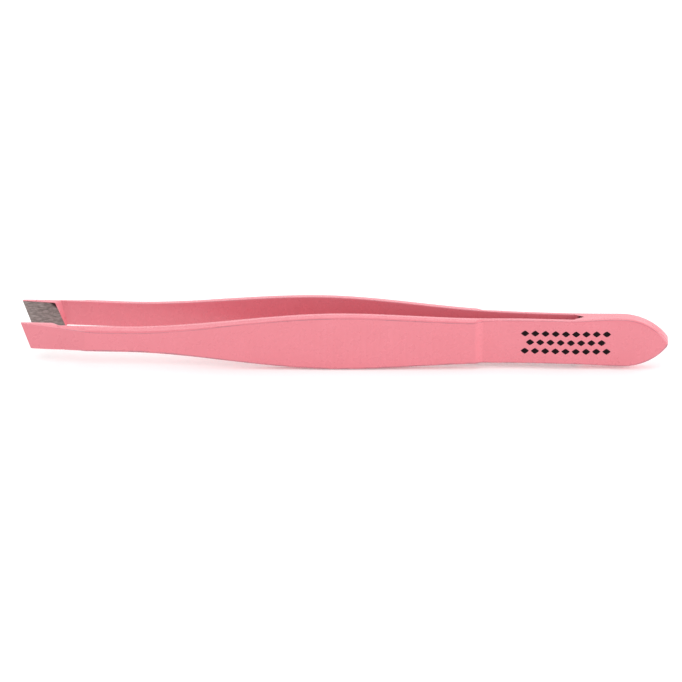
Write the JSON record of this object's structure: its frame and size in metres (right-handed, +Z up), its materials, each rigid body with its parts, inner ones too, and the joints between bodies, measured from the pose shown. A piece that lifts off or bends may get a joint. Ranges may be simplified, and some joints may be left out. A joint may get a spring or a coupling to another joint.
{
  "type": "slant tweezers",
  "caption": "Enamelled steel slant tweezers: two sprung blades welded at a rounded tail, with ground slanted jaws that meet when the arms are squeezed.",
  "frame": {"origin": "middle of the base of the bounding box, on the surface that the tweezers stand on", "axes": "+X from the jaws to the rounded tail, -Y towards the front blade, +Z up across the width of the blades"},
  "size_m": [0.095, 0.0108, 0.0087],
  "materials": {
    "blade_steel": "ground",
    "weld_steel": "as welded",
    "pink_enamel": "gloss enamel",
    "print_ink": "matte print"
  },
  "bodies": {
    "tail": {"front_tail_plate": "blade_steel", "rear_tail_plate": "blade_steel", "weld_nuggets": "weld_steel", "tail_enamel": "pink_enamel", "printed_mark": "print_ink", "front_spring_leaf": "blade_steel", "rear_spring_leaf": "blade_steel", "front_spring_enamel": "pink_enamel", "rear_spring_enamel": "pink_enamel"},
    "front_arm": {"front_arm_blade": "blade_steel", "front_arm_enamel": "pink_enamel"},
    "rear_arm": {"rear_arm_blade": "blade_steel", "rear_arm_enamel": "pink_enamel"}
  },
  "joints": [
    {"name": "front_arm_bend", "type": "hinge", "parent": "tail", "child": "front_arm", "pos_m": [0.0275, -0.00123, 0.00435], "axis": [0, 0, -1], "range_deg": [0, 2.88], "stiffness_Nm_per_rad": 2, "deforming": ["front_spring_leaf", "front_spring_enamel"]},
    {"name": "rear_arm_bend", "type": "hinge", "parent": "tail", "child": "rear_arm", "pos_m": [0.0275, 0.00123, 0.00435], "axis": [0, 0, 1], "range_deg": [0, 2.88], "stiffness_Nm_per_rad": 2, "deforming": ["rear_spring_leaf", "rear_spring_enamel"]}
  ]
}
